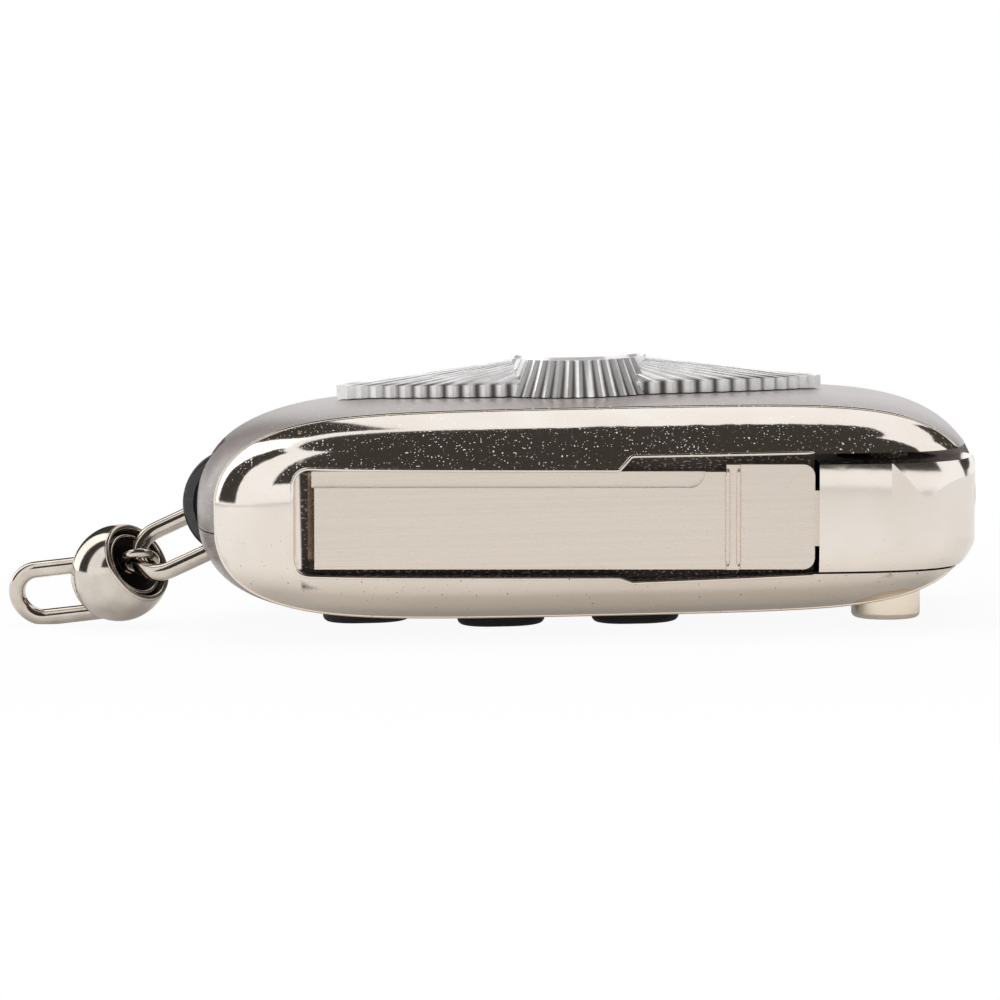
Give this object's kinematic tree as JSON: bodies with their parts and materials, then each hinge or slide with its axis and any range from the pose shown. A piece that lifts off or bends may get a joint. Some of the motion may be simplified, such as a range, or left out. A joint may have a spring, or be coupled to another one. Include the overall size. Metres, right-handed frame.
{
  "type": "flip key remote shell",
  "caption": "Empty remote key shell with a folding uncut blade on a sprung pivot, push buttons under it and a swivel ring at its end.",
  "frame": {"origin": "on the resting plane under the middle of the body, the key lying on its buttons", "axes": "+X along the body towards the pivot, -Y towards the blade side, +Z to the badge"},
  "size_m": [0.0937, 0.0396, 0.0258],
  "materials": {
    "shell_satin": "satin metallic lacquer on moulded plastic",
    "chrome": "warm satin plating",
    "chrome_bright": "bright plating",
    "bow_gloss": "black gloss plating",
    "blade_metal": "brushed along its length, plated",
    "steel": "plain",
    "spring_steel": "drawn wire",
    "bush_plastic": "plain",
    "button_rubber": "fine grain",
    "mat_rubber": "soft",
    "tray_plastic": "plain",
    "chain_nickel": "bright nickel plating"
  },
  "bodies": {
    "shell": {"back_cover": "shell_satin", "front_cover": "shell_satin", "side_frame": "chrome", "badge": "chrome_bright", "keyring_bow": "bow_gloss", "keypad_mat": "mat_rubber", "board_tray": "tray_plastic", "frame_screws": "steel", "pivot_bush": "bush_plastic"},
    "flip_key": {"pivot_drum": "chrome", "blade": "blade_metal", "blade_pin": "steel", "flip_spring": "spring_steel"},
    "release": {"release_button": "chrome"},
    "key_left": {"button_left": "button_rubber"},
    "key_middle": {"button_middle": "button_rubber"},
    "key_right": {"button_right": "button_rubber"},
    "link": {"link_ring": "chain_nickel"},
    "eye": {"swivel_eye": "chain_nickel"},
    "swivel": {"swivel_barrel": "chain_nickel", "swivel_liner": "chain_nickel", "ring_loop": "chain_nickel"}
  },
  "joints": [
    {"name": "blade_flip", "type": "hinge", "parent": "shell", "child": "flip_key", "pos_m": [0.0288, -0.0097, 0.01093], "axis": [0.0209, 0, 0.9998], "range_deg": [0, 180]},
    {"name": "release_push", "type": "slide", "parent": "shell", "child": "release", "axis": [0.0209, 0, 0.9998], "range_m": [0, 0.0012], "stiffness_N_per_m": 2500, "springref_m": -0.0008, "deforming": ["flip_spring"]},
    {"name": "left_press", "type": "slide", "parent": "shell", "child": "key_left", "axis": [0, 0, 1], "range_m": [0, 0.0004], "stiffness_N_per_m": 2000, "springref_m": -0.0003, "deforming": ["keypad_mat"]},
    {"name": "middle_press", "type": "slide", "parent": "shell", "child": "key_middle", "axis": [0, 0, 1], "range_m": [0, 0.0004], "stiffness_N_per_m": 2000, "springref_m": -0.0003, "deforming": ["keypad_mat"]},
    {"name": "right_press", "type": "slide", "parent": "shell", "child": "key_right", "axis": [0, 0, 1], "range_m": [0, 0.0004], "stiffness_N_per_m": 2000, "springref_m": -0.0003, "deforming": ["keypad_mat"]},
    {"name": "link_swing", "type": "hinge", "parent": "shell", "child": "link", "pos_m": [-0.0345, 0, 0.0101], "axis": [0, 1, 0], "range_deg": [-10, 10]},
    {"name": "eye_swing", "type": "hinge", "parent": "link", "child": "eye", "pos_m": [-0.0427, 0, 0.0065], "axis": [-0.0836, 0.5567, 0.8265], "range_deg": [0, 12]},
    {"name": "barrel_swivel", "type": "hinge", "parent": "eye", "child": "swivel", "pos_m": [-0.0427, 0, 0.0065], "axis": [0.6948, -0.5619, 0.4489], "continuous": true}
  ]
}
